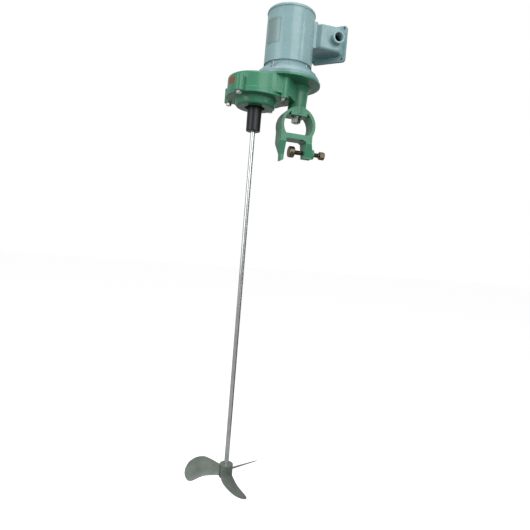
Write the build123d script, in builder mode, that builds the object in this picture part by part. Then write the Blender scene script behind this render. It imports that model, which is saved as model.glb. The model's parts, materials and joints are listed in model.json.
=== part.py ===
"""Clamp-on tank agitator: geared motor, pivoting clamp, agitator shaft and marine propeller.

Millimetres, +Z up. The origin is the middle of the clamp's rim seat, on the pivot axis.
+X points from the agitator shaft towards the clamp screw and the terminal box.
"""

from build123d import *
from math import acos, cos, pi, radians, sin, sqrt, tan
import os

# ---------------------------------------------------------------- vertical axes
SHAFT_TO_PIVOT = 116.0  # agitator shaft to the clamp's pivot axis
GEAR_CENTRES = 80.0  # motor shaft to agitator shaft
OUTPUT_X = -SHAFT_TO_PIVOT
MOTOR_X = OUTPUT_X + GEAR_CENTRES

# ---------------------------------------------------------------- clamp
CLAMP_DEPTH = 48.0
RING_RADIUS = 48.0
RING_HOLE = 40.0
RING_Z = 36.5
RIM_BAR = 13.0  # thickness of the bar that rests on the rim
SEAT_Z = 62.0  # underside of the pivot seat
CLAMP_TOP = 86.5
PIVOT_SEAT_R = 25.0
FIXED_JAW_X = -30.0
SCREW_JAW_X = 26.0
FIXED_FOOT_Z = -59.0
SCREW_FOOT_Z = -45.0
SCREW_Z = -30.5
SCREW_R = 6.0
SCREW_BOSS_X = 56.0
PAD_RADIUS = 15.0
PAD_FACE_X = -13.6
PAD_BACK_X = 0.6
SCREW_HEAD_X = 74.0
PIVOT_R = 7.0
STUD_Z = 44.7
STUD_TOP_Z = 110.7
WASHER = 3.0
NUT_HEIGHT = 12.8
RUNNING = 0.05  # radial clearance of a turning pin

# ---------------------------------------------------------------- gear case
CASE_WALL_R = 75.0
CASE_CAVITY_R = 70.3
JOINT_Z = 95.5  # lower face of the gear case
CASE_ROOF_Z = 139.0
FLANGE_R = 90.0
FLANGE_TOP_Z = 145.0
REGISTER_Z = 141.0  # bottom of the motor's register in the flange
REGISTER_R = 35.0
LUG_PITCH_R = 82.0
LUG_R = 12.0
ARM_TOP_R = 26.3
ARM_FOOT_R = 23.8
GASKET = 1.0
COVER_Z = JOINT_Z - GASKET
COVER_FLANGE_Z = 86.5
COVER_BOTTOM_Z = 67.5

# ---------------------------------------------------------------- gears
MODULE = 2.0
PINION_TEETH = 13
WHEEL_TEETH = 67
SHIFT = 0.3  # profile shift, plus on the pinion and minus on the wheel
PRESSURE_ANGLE = radians(20)
BACKLASH = 0.15
GEAR_Z = 100.0
GEAR_WIDTH = 18.0
PINION_Z = 101.5

# ---------------------------------------------------------------- shafts and propeller
SLEEVE_TOP_Z = 72.0
SLEEVE_BOTTOM_Z = 7.0
SHAFT_R = 6.0
SHAFT_TOP_Z = 38.0
HUB_R = 18.0
HUB_TOP_Z = -879.0
HUB_BOTTOM_Z = -915.0
BLADE_Z = -896.6
BLADE_PITCH = 32.0
FIRST_BLADE_DEG = 142.5

# ---------------------------------------------------------------- motor
BRACKET_FLANGE_R = 86.0
NECK_R = 60.5
SHELL_BOTTOM_Z = 185.0
SHELL_TOP_Z = 320.5
SHELL_BOTTOM_R = 63.3
SHELL_TOP_R = 62.0
SHELL_WALL = 1.5
CAP_Z = 318.5
CAP_TOP_Z = 327.5
CORE_Z = 205.0
CORE_TOP_Z = 275.0

# ---------------------------------------------------------------- terminal box
BOX_Z = 278.0
BOX_HEIGHT = 66.0
LID_SIZE = 96.0
LID_X = 90.0
LID_Y = 27.0
ENTRY_X = 88.0
ENTRY_MOUTH_Y = -37.0
ENTRY_R = 16.5
ENTRY_BORE_R = 12.06


def upright(x):
    """The upright plane through the axis at x: its X is the radius, its Y the height."""
    return Plane(origin=(x, 0, 0), x_dir=(1, 0, 0), z_dir=(0, -1, 0))


def level(z, x=0, y=0):
    """A level plane at height z with its origin over (x, y)."""
    return Plane(origin=(x, y, z), z_dir=(0, 0, 1))


def across(x, y=0, z=0):
    """An upright plane that faces +X, with its origin at (x, y, z)."""
    return Plane(origin=(x, y, z), x_dir=(0, 1, 0), z_dir=(1, 0, 0))


def spindle(x):
    """The vertical axis at x."""
    return Axis((x, 0, 0), (0, 0, 1))


def contour(plane, *corners):
    """A closed face from corners, each (u, v) or (u, v, rounding)."""
    roundings = [corner[2] if len(corner) > 2 else 0 for corner in corners]
    with BuildSketch(plane) as face:
        with BuildLine():
            FilletPolyline(*[corner[:2] for corner in corners], radius=roundings, close=True)
        make_face()
    return face.sketch


def disc(plane, radius, hole=0):
    """A round face, or a ring if it has a hole."""
    with BuildSketch(plane) as face:
        Circle(radius)
        if hole:
            Circle(hole, mode=Mode.SUBTRACT)
    return face.sketch


def hexagon(plane, across_flats):
    """A hexagon by its size across flats."""
    with BuildSketch(plane) as face:
        RegularPolygon(across_flats / 2, 6, major_radius=False)
    return face.sketch


def at_angle(x, radius, degrees):
    """The point at a radius and angle about the vertical axis at x."""
    return (x + radius * cos(radians(degrees)), radius * sin(radians(degrees)))


def finish(piece, name):
    """Label a piece and write its file."""
    piece.part.label = name
    export_step(piece.part, f"parts/{name}.step")


os.makedirs("parts", exist_ok=True)

# ================================================================ clamp
with BuildPart() as clamp:
    with BuildSketch(Plane.XZ) as clamp_front:
        with Locations((0, RING_Z)):
            Circle(RING_RADIUS)
        with BuildLine():
            Polyline((-46, 24), (-46, -12), (-38.5, -38), (-38, FIXED_FOOT_Z),
                     (FIXED_JAW_X, FIXED_FOOT_Z + 4), (FIXED_JAW_X, 24), close=True)
        make_face()
        with BuildLine():
            Polyline((42, 20), (42, -8), (50, -32), (50, SCREW_FOOT_Z),
                     (SCREW_JAW_X, SCREW_FOOT_Z), (SCREW_JAW_X, 20), close=True)
        make_face()
    extrude(clamp_front.sketch, amount=CLAMP_DEPTH / 2, both=True)
    # the pivot seat's round top
    extrude(disc(level(SEAT_Z + 4), PIVOT_SEAT_R), amount=CLAMP_TOP - SEAT_Z - 4)
    # the boss round the clamp screw
    extrude(disc(across(SCREW_JAW_X, 0, SCREW_Z), 13),
            amount=SCREW_BOSS_X - SCREW_JAW_X)
    # the throat, open downwards
    extrude(contour(Plane.XZ, (FIXED_JAW_X, -80), (FIXED_JAW_X, 0), (SCREW_JAW_X, 0, 9),
                    (SCREW_JAW_X, -80)), amount=CLAMP_DEPTH, both=True, mode=Mode.SUBTRACT)
    # the eye above the rim bar
    with BuildSketch(Plane.XZ) as clamp_eye:
        with Locations((0, RING_Z)):
            Circle(RING_HOLE)
        with Locations((0, (RIM_BAR + SEAT_Z) / 2)):
            Rectangle(2 * RING_HOLE, SEAT_Z - RIM_BAR, mode=Mode.INTERSECT)
        fillet(clamp_eye.vertices(), 4)
    extrude(clamp_eye.sketch, amount=CLAMP_DEPTH, both=True, mode=Mode.SUBTRACT)
    # the jaws narrow towards their feet
    for side in (-1, 1):
        extrude(contour(Plane.YZ, (side * 24.1, -8), (side * 12, -42), (side * 12, -90),
                        (side * 60, -90), (side * 60, -8)), amount=70, both=True, mode=Mode.SUBTRACT)
        # pockets beside the pivot seat
        with BuildSketch(Plane.XZ.offset(side * CLAMP_DEPTH / 2)) as pocket:
            with Locations((0, RING_Z)):
                Circle(RING_HOLE)
            with Locations((0, SEAT_Z + 20)):
                Rectangle(2 * RING_HOLE, 40, mode=Mode.INTERSECT)
            with Locations((0, SEAT_Z)):
                Rectangle(45, 60, mode=Mode.SUBTRACT)
        extrude(pocket.sketch, amount=-side * 10, mode=Mode.SUBTRACT)
    extrude(disc(level(SEAT_Z - 5), PIVOT_R + RUNNING), amount=40, mode=Mode.SUBTRACT)
    extrude(disc(across(0, 0, SCREW_Z), SCREW_R + RUNNING), amount=80,
            mode=Mode.SUBTRACT)
finish(clamp, "clamp")

# ================================================================ clamp screw and pressure pad
with BuildPart() as pressure_pad:
    pad_plane = across(PAD_FACE_X, 0, SCREW_Z)
    extrude(disc(pad_plane, PAD_RADIUS), amount=PAD_BACK_X - PAD_FACE_X)
    chamfer(pressure_pad.edges().filter_by(GeomType.CIRCLE), 1.2)
    extrude(disc(across(PAD_BACK_X - 9, 0, SCREW_Z), 4 + RUNNING),
            amount=10, mode=Mode.SUBTRACT)
finish(pressure_pad, "pressure_pad")

with BuildPart() as clamp_screw:
    screw_plane = across(PAD_BACK_X, 0, SCREW_Z)
    extrude(disc(screw_plane, SCREW_R), amount=SCREW_HEAD_X - PAD_BACK_X)
    extrude(disc(screw_plane, 4), amount=-8.5)
    extrude(hexagon(across(SCREW_HEAD_X, 0, SCREW_Z), 19), amount=15)
finish(clamp_screw, "clamp_screw")

# ================================================================ pivot
with BuildPart() as pivot_stud:
    extrude(disc(level(STUD_Z), PIVOT_R), amount=STUD_TOP_Z - STUD_Z)
    chamfer(pivot_stud.edges().filter_by(GeomType.CIRCLE), 1)
finish(pivot_stud, "pivot_stud")

with BuildPart() as pivot_washer:
    extrude(disc(level(SEAT_Z - WASHER), 14.5, PIVOT_R + RUNNING), amount=WASHER)
finish(pivot_washer, "pivot_washer")

with BuildPart() as pivot_nut:
    extrude(hexagon(level(SEAT_Z - WASHER - NUT_HEIGHT), 22), amount=NUT_HEIGHT)
    extrude(disc(level(0), PIVOT_R), amount=80, mode=Mode.SUBTRACT)
finish(pivot_nut, "pivot_nut")

# ================================================================ gear case with its arm
LUG_ANGLES = (45, 135, 225, 315)
LUGS = [at_angle(OUTPUT_X, LUG_PITCH_R, angle) for angle in LUG_ANGLES]
MOTOR_BOLTS = [at_angle(MOTOR_X, 75, angle) for angle in LUG_ANGLES]

with BuildPart() as gear_case:
    revolve(contour(upright(OUTPUT_X), (0, JOINT_Z), (77, JOINT_Z), (77, JOINT_Z + 4, 1.5),
                    (CASE_WALL_R, JOINT_Z + 5.5), (CASE_WALL_R, CASE_ROOF_Z, 7), (0, CASE_ROOF_Z)),
            axis=spindle(OUTPUT_X))
    # the walls that run on to the pinion housing
    extrude(contour(Plane.XY.offset(JOINT_Z), (-110, -70), (-86, -73, 12), (-46, -62, 8),
                    (-26, -36, 8), (-6, -12, 6), (-6, 12, 6), (-26, 36, 8), (-46, 62, 8),
                    (-86, 73, 12), (-110, 70)), amount=CASE_ROOF_Z - JOINT_Z)
    for (x, y), top in zip(LUGS, (CASE_ROOF_Z, 122, 122, CASE_ROOF_Z)):
        extrude(disc(level(JOINT_Z, x, y), LUG_R), amount=top - JOINT_Z)
    revolve(contour(upright(MOTOR_X), (0, CASE_ROOF_Z - 1), (84, CASE_ROOF_Z - 1),
                    (FLANGE_R, CASE_ROOF_Z, 0.5), (FLANGE_R, FLANGE_TOP_Z, 1), (0, FLANGE_TOP_Z)),
            axis=spindle(MOTOR_X))
    # the arm that stands on the clamp
    revolve(contour(upright(0), (0, CLAMP_TOP), (ARM_FOOT_R, CLAMP_TOP, 1), (ARM_TOP_R, 126, 8),
                    (36, CASE_ROOF_Z), (0, CASE_ROOF_Z)), axis=spindle(0))
    # the wheel's cavity, with the upper bearing's boss left in the roof
    revolve(contour(upright(OUTPUT_X), (0, JOINT_Z - 1), (CASE_CAVITY_R, JOINT_Z - 1),
                    (CASE_CAVITY_R, 131, 4), (24, 131), (24, 121), (17.5, 121), (17.5, 132),
                    (0, 132)), axis=spindle(OUTPUT_X), mode=Mode.SUBTRACT)
    # the pinion's well and the motor's register
    extrude(disc(level(GEAR_Z, MOTOR_X), 19), amount=60, mode=Mode.SUBTRACT)
    extrude(disc(level(REGISTER_Z, MOTOR_X), REGISTER_R), amount=10, mode=Mode.SUBTRACT)
    for x, y in LUGS:
        extrude(disc(level(JOINT_Z - 1, x, y), 4), amount=16, mode=Mode.SUBTRACT)
    for x, y in MOTOR_BOLTS:
        extrude(disc(level(CASE_ROOF_Z - 2, x, y), 3), amount=10, mode=Mode.SUBTRACT)
    extrude(disc(level(CLAMP_TOP - 1), PIVOT_R), amount=STUD_TOP_Z - CLAMP_TOP + 1,
            mode=Mode.SUBTRACT)
finish(gear_case, "gear_case")

# ================================================================ gear cover, gasket and bolts
with BuildPart() as gear_cover:
    revolve(contour(upright(OUTPUT_X), (21, 73.5), (26, 73.5), (26, COVER_BOTTOM_Z, 1),
                    (50, COVER_BOTTOM_Z, 7), (55, COVER_FLANGE_Z, 5), (77, COVER_FLANGE_Z, 1.5),
                    (77, COVER_Z), (21, COVER_Z)), axis=spindle(OUTPUT_X))
    for x, y in LUGS:
        extrude(disc(level(COVER_FLANGE_Z, x, y), LUG_R), amount=COVER_Z - COVER_FLANGE_Z)
        extrude(disc(level(COVER_FLANGE_Z - 8, x, y), 9), amount=8, mode=Mode.SUBTRACT)
    for x, y in LUGS:
        extrude(disc(level(COVER_FLANGE_Z - 8, x, y), 4.4), amount=20, mode=Mode.SUBTRACT)
finish(gear_cover, "gear_cover")

with BuildPart() as cover_gasket:
    extrude(disc(level(COVER_Z, OUTPUT_X), 77), amount=GASKET)
    for x, y in LUGS:
        extrude(disc(level(COVER_Z, x, y), LUG_R), amount=GASKET)
    extrude(disc(level(COVER_Z, OUTPUT_X), CASE_CAVITY_R), amount=GASKET, mode=Mode.SUBTRACT)
    for x, y in LUGS:
        extrude(disc(level(COVER_Z, x, y), 4.4), amount=GASKET, mode=Mode.SUBTRACT)
finish(cover_gasket, "cover_gasket")

with BuildPart() as cover_bolts:
    for x, y in LUGS:
        extrude(disc(level(COVER_FLANGE_Z, x, y), 4), amount=JOINT_Z + 14 - COVER_FLANGE_Z)
        extrude(disc(level(COVER_FLANGE_Z - 1.6, x, y), 8), amount=1.6)
        extrude(hexagon(level(COVER_FLANGE_Z - 1.6 - 5.5, x, y), 13), amount=5.5)
finish(cover_bolts, "cover_bolts")


# ================================================================ gears
def involute(base_r, radius):
    """Polar angle of an involute from its base circle out to a radius."""
    roll = sqrt((radius / base_r) ** 2 - 1) if radius > base_r else 0
    return roll - (acos(base_r / radius) if radius > base_r else 0)


def gear_face(plane, teeth, shift):
    """A spur gear's face, with a tooth gap centred on the plane's X."""
    pitch_r = MODULE * teeth / 2
    base_r = pitch_r * cos(PRESSURE_ANGLE)
    tip_r = pitch_r + MODULE * (1 + shift)
    root_r = pitch_r - MODULE * (1.25 - shift)
    tooth = MODULE * (pi / 2 + 2 * shift * tan(PRESSURE_ANGLE)) - BACKLASH
    half_tooth = tooth / 2 / pitch_r + involute(base_r, pitch_r)
    start_r = max(root_r, base_r)
    middle_r = (start_r + tip_r) / 2

    def flank(radius, side, centre):
        angle = centre + side * (half_tooth - involute(base_r, radius))
        return (radius * cos(angle), radius * sin(angle))

    with BuildSketch(plane) as face:
        with BuildLine():
            for number in range(teeth):
                centre = 2 * pi * (number + 0.5) / teeth
                following = centre + 2 * pi / teeth
                foot = centre - half_tooth
                end_foot = centre + half_tooth
                if start_r > root_r:
                    Line((root_r * cos(foot), root_r * sin(foot)), flank(start_r, -1, centre))
                    Line(flank(start_r, 1, centre), (root_r * cos(end_foot), root_r * sin(end_foot)))
                    root_start = (root_r * cos(end_foot), root_r * sin(end_foot))
                    next_foot = following - half_tooth
                    root_end = (root_r * cos(next_foot), root_r * sin(next_foot))
                else:
                    root_start = flank(start_r, 1, centre)
                    root_end = flank(start_r, -1, following)
                ThreePointArc(flank(start_r, -1, centre), flank(middle_r, -1, centre),
                              flank(tip_r, -1, centre))
                ThreePointArc(flank(start_r, 1, centre), flank(middle_r, 1, centre),
                              flank(tip_r, 1, centre))
                Line(flank(tip_r, -1, centre), flank(tip_r, 1, centre))
                Line(root_start, root_end)
        make_face()
    return face.sketch


with BuildPart() as output_gear:
    extrude(gear_face(level(GEAR_Z, OUTPUT_X), WHEEL_TEETH, -SHIFT), amount=GEAR_WIDTH)
    extrude(disc(level(GEAR_Z, OUTPUT_X), 11), amount=GEAR_WIDTH, mode=Mode.SUBTRACT)
    for web_z in (GEAR_Z, GEAR_Z + GEAR_WIDTH - 4):
        extrude(disc(level(web_z, OUTPUT_X), 57, 21), amount=4, mode=Mode.SUBTRACT)
    with Locations((OUTPUT_X + 11.5, 0, GEAR_Z + GEAR_WIDTH / 2)):
        Box(5, 6, GEAR_WIDTH, mode=Mode.SUBTRACT)
finish(output_gear, "output_gear")

with BuildPart() as pinion:
    extrude(gear_face(level(PINION_Z, MOTOR_X), PINION_TEETH, SHIFT), amount=GEAR_WIDTH)
    extrude(disc(level(GEAR_Z, MOTOR_X), 7), amount=40, mode=Mode.SUBTRACT)
finish(pinion, "pinion")

# ================================================================ output shaft
SEAL_Z = 73.5
LOWER_BEARING_Z = 81.0
UPPER_BEARING_Z = 121.0

with BuildPart() as output_shaft:
    revolve(contour(upright(OUTPUT_X), (0, 40), (10, 40), (10, 93), (12.5, 93), (12.5, 99.5),
                    (11, 99.5), (11, GEAR_Z + GEAR_WIDTH), (9.5, GEAR_Z + GEAR_WIDTH), (9.5, 121),
                    (7.5, 121), (7.5, 131.5), (0, 131.5)), axis=spindle(OUTPUT_X))
    with Locations((OUTPUT_X + 11, 0, GEAR_Z + GEAR_WIDTH / 2)):
        Box(6, 6, GEAR_WIDTH, mode=Mode.SUBTRACT)
finish(output_shaft, "output_shaft")

with BuildPart() as gear_key:
    with Locations((OUTPUT_X + 11, 0, GEAR_Z + GEAR_WIDTH / 2)):
        Box(6, 6, GEAR_WIDTH)
finish(gear_key, "gear_key")

with BuildPart() as output_bearings:
    extrude(disc(level(LOWER_BEARING_Z, OUTPUT_X), 21, 10 + RUNNING), amount=12)
    extrude(disc(level(UPPER_BEARING_Z, OUTPUT_X), 17.5, 7.5 + RUNNING), amount=11)
finish(output_bearings, "output_bearings")

with BuildPart() as output_seal:
    extrude(disc(level(SEAL_Z, OUTPUT_X), 21, 10 + RUNNING), amount=7)
finish(output_seal, "output_seal")

# ================================================================ sleeve and agitator shaft
SLEEVE_SCREWS = ((55.0, 10.0), (22.0, 6.0))  # height, and radius of the shaft that it presses
SLEEVE_SCREW_DEG = 60.0


def radial(degrees, z, x=OUTPUT_X):
    """An upright plane through the axis at x that faces outwards at an angle."""
    return Plane(origin=(x, 0, z), z_dir=(cos(radians(degrees)), sin(radians(degrees)), 0))


with BuildPart() as coupling_sleeve:
    revolve(contour(upright(OUTPUT_X), (SHAFT_R, SLEEVE_BOTTOM_Z), (18.4, SLEEVE_BOTTOM_Z, 2),
                    (19, SLEEVE_TOP_Z, 1), (10, SLEEVE_TOP_Z), (10, 39), (SHAFT_R, 39)),
            axis=spindle(OUTPUT_X))
    for screw_z, pressed_r in SLEEVE_SCREWS:
        extrude(disc(radial(SLEEVE_SCREW_DEG, screw_z), 3), amount=30, mode=Mode.SUBTRACT)
finish(coupling_sleeve, "coupling_sleeve")

with BuildPart() as sleeve_screws:
    for screw_z, pressed_r in SLEEVE_SCREWS:
        extrude(disc(radial(SLEEVE_SCREW_DEG, screw_z), 3), amount=17.5)
        extrude(hexagon(radial(SLEEVE_SCREW_DEG, screw_z).offset(14.5), 3), amount=4,
                mode=Mode.SUBTRACT)
    for screw_z, pressed_r in SLEEVE_SCREWS:
        extrude(disc(level(screw_z - 5, OUTPUT_X), pressed_r), amount=10, mode=Mode.SUBTRACT)
finish(sleeve_screws, "sleeve_screws")

with BuildPart() as agitator_shaft:
    extrude(disc(level(HUB_BOTTOM_Z, OUTPUT_X), SHAFT_R), amount=SHAFT_TOP_Z - HUB_BOTTOM_Z)
    chamfer(agitator_shaft.edges().filter_by(GeomType.CIRCLE), 0.8)
finish(agitator_shaft, "agitator_shaft")

# ================================================================ propeller
BLADE_STATIONS = (
    # radius, leading edge, trailing edge, thickness
    (13, -13, 20, 6.5), (26, -13, 24, 5.6), (40, -16, 28.5, 5.0), (54, -19.5, 35.5, 4.5),
    (66, -21.5, 46, 4.1), (75, -22, 54.5, 3.8), (84, -20, 57.5, 3.5), (93, -16, 54, 3.2),
    (101, -9.5, 47, 2.9), (107, -1.5, 38, 2.6), (111, 8, 28, 2.2),
)


def blade_section(radius, leading, trailing, thickness, degrees):
    """A blade's cross-section at a radius, tilted by the pitch."""
    outwards = Vector(cos(radians(degrees)), sin(radians(degrees)), 0)
    sideways = Vector(-sin(radians(degrees)), cos(radians(degrees)), 0)
    chord = sideways * cos(radians(BLADE_PITCH)) - Vector(0, 0, sin(radians(BLADE_PITCH)))
    origin = Vector(OUTPUT_X, 0, BLADE_Z) + outwards * radius + chord * ((leading + trailing) / 2)
    with BuildSketch(Plane(origin=origin, x_dir=chord, z_dir=outwards)) as face:
        Ellipse((trailing - leading) / 2, thickness / 2)
    return face.sketch


with BuildPart() as propeller:
    revolve(contour(upright(OUTPUT_X), (0, HUB_BOTTOM_Z), (HUB_R, HUB_BOTTOM_Z, 2.5),
                    (HUB_R, HUB_TOP_Z, 1.5), (0, HUB_TOP_Z)), axis=spindle(OUTPUT_X))
    for blade in range(3):
        blade_deg = FIRST_BLADE_DEG + 120 * blade
        loft([blade_section(*station, blade_deg) for station in BLADE_STATIONS])
    extrude(disc(level(HUB_BOTTOM_Z - 1, OUTPUT_X), SHAFT_R), amount=60, mode=Mode.SUBTRACT)
    extrude(disc(radial(FIRST_BLADE_DEG - 60, BLADE_Z), 4), amount=30, mode=Mode.SUBTRACT)
finish(propeller, "propeller")

with BuildPart() as propeller_screw:
    extrude(disc(radial(FIRST_BLADE_DEG - 60, BLADE_Z), 4), amount=HUB_R - 0.6)
    extrude(disc(level(BLADE_Z - 6, OUTPUT_X), SHAFT_R), amount=12, mode=Mode.SUBTRACT)
    extrude(hexagon(radial(FIRST_BLADE_DEG - 60, BLADE_Z).offset(HUB_R - 4.5), 4), amount=6,
            mode=Mode.SUBTRACT)
finish(propeller_screw, "propeller_screw")

# ================================================================ motor
MOTOR_BOLT_SEAT_Z = 157.5
BRACKET_SCREW_Z = 178.5
BRACKET_SCREW_SEAT_R = 61.5
BRACKET_SCREWS_DEG = (-146, -56, 34, 124)
LEAD_HOLE_R = 10.0

with BuildPart() as lower_bracket:
    revolve(contour(upright(MOTOR_X), (REGISTER_R, REGISTER_Z), (REGISTER_R, FLANGE_TOP_Z),
                    (BRACKET_FLANGE_R, FLANGE_TOP_Z, 1), (BRACKET_FLANGE_R, 153, 3),
                    (78.4, 164, 9), (63.5, 178, 5), (NECK_R, 183), (NECK_R, CORE_Z),
                    (NECK_R - 3.5, CORE_Z), (NECK_R - 3.5, 188), (45, 176), (25, 176), (20, 172),
                    (20, 160), (17.5, 160), (17.5, 147), (14, 147), (14, REGISTER_Z)),
            axis=spindle(MOTOR_X))
    for x, y in MOTOR_BOLTS:
        extrude(disc(level(MOTOR_BOLT_SEAT_Z, x, y), 8.5), amount=20, mode=Mode.SUBTRACT)
        extrude(disc(level(FLANGE_TOP_Z, x, y), 3.3), amount=20, mode=Mode.SUBTRACT)
    for degrees in BRACKET_SCREWS_DEG:
        screw_plane = radial(degrees, BRACKET_SCREW_Z, MOTOR_X)
        extrude(disc(screw_plane, 2), amount=80, mode=Mode.SUBTRACT)
        extrude(disc(screw_plane.offset(BRACKET_SCREW_SEAT_R), 4.8), amount=20, mode=Mode.SUBTRACT)
finish(lower_bracket, "lower_bracket")

with BuildPart() as bracket_screws:
    for degrees in BRACKET_SCREWS_DEG:
        screw_plane = radial(degrees, BRACKET_SCREW_Z, MOTOR_X)
        extrude(disc(screw_plane.offset(BRACKET_SCREW_SEAT_R - 10), 2), amount=10)
        extrude(disc(screw_plane.offset(BRACKET_SCREW_SEAT_R), 4), amount=3)
finish(bracket_screws, "bracket_screws")

with BuildPart() as motor_bolts:
    for x, y in MOTOR_BOLTS:
        extrude(disc(level(CASE_ROOF_Z - 2, x, y), 3), amount=MOTOR_BOLT_SEAT_Z - CASE_ROOF_Z + 2)
        extrude(disc(level(MOTOR_BOLT_SEAT_Z, x, y), 6.5), amount=1.4)
        extrude(hexagon(level(MOTOR_BOLT_SEAT_Z + 1.4, x, y), 10), amount=4.2)
finish(motor_bolts, "motor_bolts")

with BuildPart() as motor_shell:
    revolve(contour(upright(MOTOR_X), (SHELL_BOTTOM_R, SHELL_BOTTOM_Z), (SHELL_TOP_R, SHELL_TOP_Z),
                    (SHELL_TOP_R - SHELL_WALL, SHELL_TOP_Z),
                    (SHELL_BOTTOM_R - SHELL_WALL, SHELL_BOTTOM_Z)), axis=spindle(MOTOR_X))
    extrude(disc(across(MOTOR_X, 0, BOX_Z), LEAD_HOLE_R), amount=80, mode=Mode.SUBTRACT)
finish(motor_shell, "motor_shell")

with BuildPart() as top_cap:
    revolve(contour(upright(MOTOR_X), (0, CAP_TOP_Z), (63.4, CAP_TOP_Z, 7), (63.4, CAP_Z),
                    (62.1, CAP_Z), (62.1, SHELL_TOP_Z), (61, SHELL_TOP_Z), (61, CAP_TOP_Z - 1.6, 4.9),
                    (0, CAP_TOP_Z - 1.6)), axis=spindle(MOTOR_X))
finish(top_cap, "top_cap")

with BuildPart() as upper_bracket:
    revolve(contour(upright(MOTOR_X), (60.4, CORE_TOP_Z), (60.4, 312, 3), (24, 312), (22, 315),
                    (10, 315), (10, 311), (17.5, 311), (17.5, 300), (12, 300), (12, 296),
                    (57, 296), (57, CORE_TOP_Z)), axis=spindle(MOTOR_X))
finish(upper_bracket, "upper_bracket")

with BuildPart() as stator_core:
    extrude(disc(level(CORE_Z, MOTOR_X), 60.3, 33), amount=CORE_TOP_Z - CORE_Z)
finish(stator_core, "stator_core")

with BuildPart() as stator_windings:
    revolve([contour(upright(MOTOR_X), (36, CORE_Z), (54, CORE_Z), (54, CORE_Z - 17, 7),
                     (36, CORE_Z - 17, 7)),
             contour(upright(MOTOR_X), (36, CORE_TOP_Z), (54, CORE_TOP_Z), (54, CORE_TOP_Z + 17, 7),
                     (36, CORE_TOP_Z + 17, 7))], axis=spindle(MOTOR_X))
finish(stator_windings, "stator_windings")

with BuildPart() as rotor_core:
    revolve(contour(upright(MOTOR_X), (8.5, CORE_Z), (20, CORE_Z), (20, CORE_Z - 7),
                    (30, CORE_Z - 7), (30, CORE_Z), (32.6, CORE_Z), (32.6, CORE_TOP_Z),
                    (30, CORE_TOP_Z), (30, CORE_TOP_Z + 7), (20, CORE_TOP_Z + 7),
                    (20, CORE_TOP_Z), (8.5, CORE_TOP_Z)), axis=spindle(MOTOR_X))
finish(rotor_core, "rotor_core")

with BuildPart() as motor_shaft:
    revolve(contour(upright(MOTOR_X), (0, PINION_Z), (7, PINION_Z), (7, PINION_Z + GEAR_WIDTH),
                    (8.5, PINION_Z + GEAR_WIDTH), (8.5, 299), (7.5, 299), (7.5, 312.5), (0, 312.5)),
            axis=spindle(MOTOR_X))
finish(motor_shaft, "motor_shaft")

with BuildPart() as motor_bearings:
    extrude(disc(level(160, MOTOR_X), 20, 8.5 + RUNNING), amount=12)
    extrude(disc(level(300, MOTOR_X), 17.5, 7.5 + RUNNING), amount=11)
finish(motor_bearings, "motor_bearings")

with BuildPart() as motor_seal:
    extrude(disc(level(147, MOTOR_X), 17.5, 8.5 + RUNNING), amount=7)
finish(motor_seal, "motor_seal")

# ================================================================ terminal box
LID_FLANGE = 4.0
LID_GASKET = 1.5
LID_PLATE = 3.0
BODY_STEP = 25.2  # from the lid's centre to the body's corners, along X and along Y
LID_SCREW_OFFSET = 41.0
LID_OPENING = 66.0
BOX_WALL = 4.0


def lid_plane(depth=0.0):
    """The plane of the lid's joint, moved outwards by a depth."""
    return Plane(origin=(LID_X, LID_Y, BOX_Z), x_dir=(-1, 1, 0), z_dir=(1, 1, 0)).offset(depth)


def lid_face(depth, width, rounding, opening=0):
    """A rounded square face parallel to the lid's joint, with a square opening if it has one."""
    with BuildSketch(lid_plane(depth)) as face:
        RectangleRounded(width, width, rounding)
        if opening:
            RectangleRounded(opening, opening - 10, 8, mode=Mode.SUBTRACT)
    return face.sketch


def lid_corners(depth, radius):
    """Four round faces at the lid's corners, at a depth from its joint."""
    with BuildSketch(lid_plane(depth)) as face:
        with GridLocations(2 * LID_SCREW_OFFSET, 2 * LID_SCREW_OFFSET, 2, 2):
            Circle(radius)
    return face.sketch


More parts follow.
